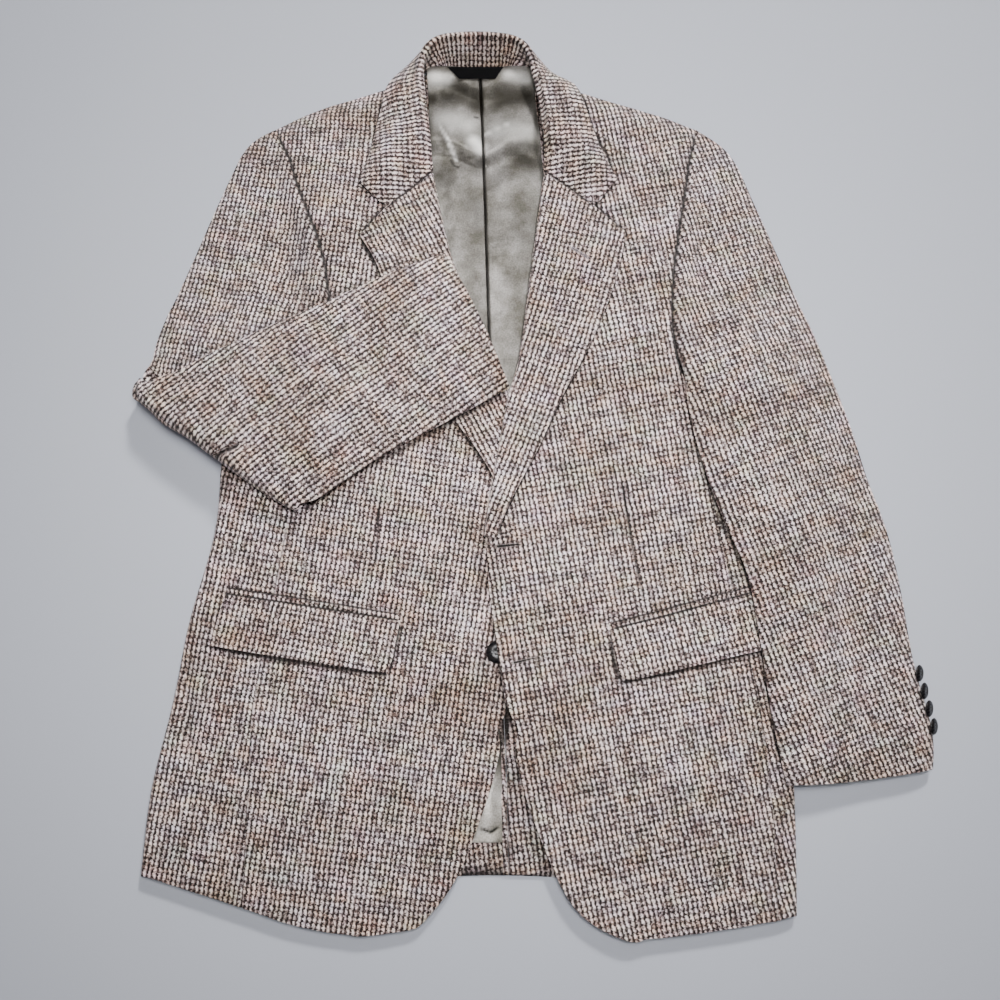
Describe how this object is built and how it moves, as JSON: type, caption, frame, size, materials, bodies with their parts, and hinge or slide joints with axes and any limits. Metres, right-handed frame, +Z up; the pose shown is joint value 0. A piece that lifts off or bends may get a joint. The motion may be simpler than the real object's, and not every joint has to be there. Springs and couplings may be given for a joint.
{
  "type": "tweed hacking jacket",
  "caption": "Tailored tweed jacket with notch lapels, slanted flap pockets and a rear vent, laid face up on a flat surface with one sleeve folded across the chest.",
  "frame": {"origin": "middle of the jacket's footprint, on the surface that it lies on", "axes": "+X towards the wearer's left, +Y from the hem to the collar, +Z up from the surface"},
  "size_m": [0.7378, 0.8656, 0.047],
  "materials": {
    "tweed": "brown and cream broken check woollen tweed, matt, slightly hairy",
    "lining_satin": "pale grey satin lining, soft sheen",
    "label_woven": "plain black woven label, left bare",
    "button_horn": "polished near-black horn-like button"
  },
  "bodies": {
    "root": {"back_left": "tweed", "back_right": "tweed", "breast_welt": "tweed", "button_cuff_left_1": "button_horn", "button_cuff_left_2": "button_horn", "button_cuff_left_3": "button_horn", "button_cuff_left_4": "button_horn", "button_cuff_right_1": "button_horn", "button_cuff_right_2": "button_horn", "button_cuff_right_3": "button_horn", "button_cuff_right_4": "button_horn", "button_front_low": "button_horn", "button_front_top": "button_horn", "collar": "tweed", "facing_left": "tweed", "facing_right": "tweed", "front_left": "tweed", "front_right": "tweed", "label": "label_woven", "lining_left": "lining_satin", "lining_right": "lining_satin", "lining_skirt": "lining_satin", "pocket_flap_left": "tweed", "pocket_flap_right": "tweed", "pocket_jet_left": "tweed", "pocket_jet_right": "tweed", "side_body_left": "tweed", "side_body_right": "tweed", "sleeve_left_top": "tweed", "sleeve_left_under": "tweed", "sleeve_right_fold": "tweed", "sleeve_right_top": "tweed", "sleeve_right_under": "tweed", "vent_facing_left": "tweed", "vent_facing_right": "tweed"}
  },
  "joints": []
}
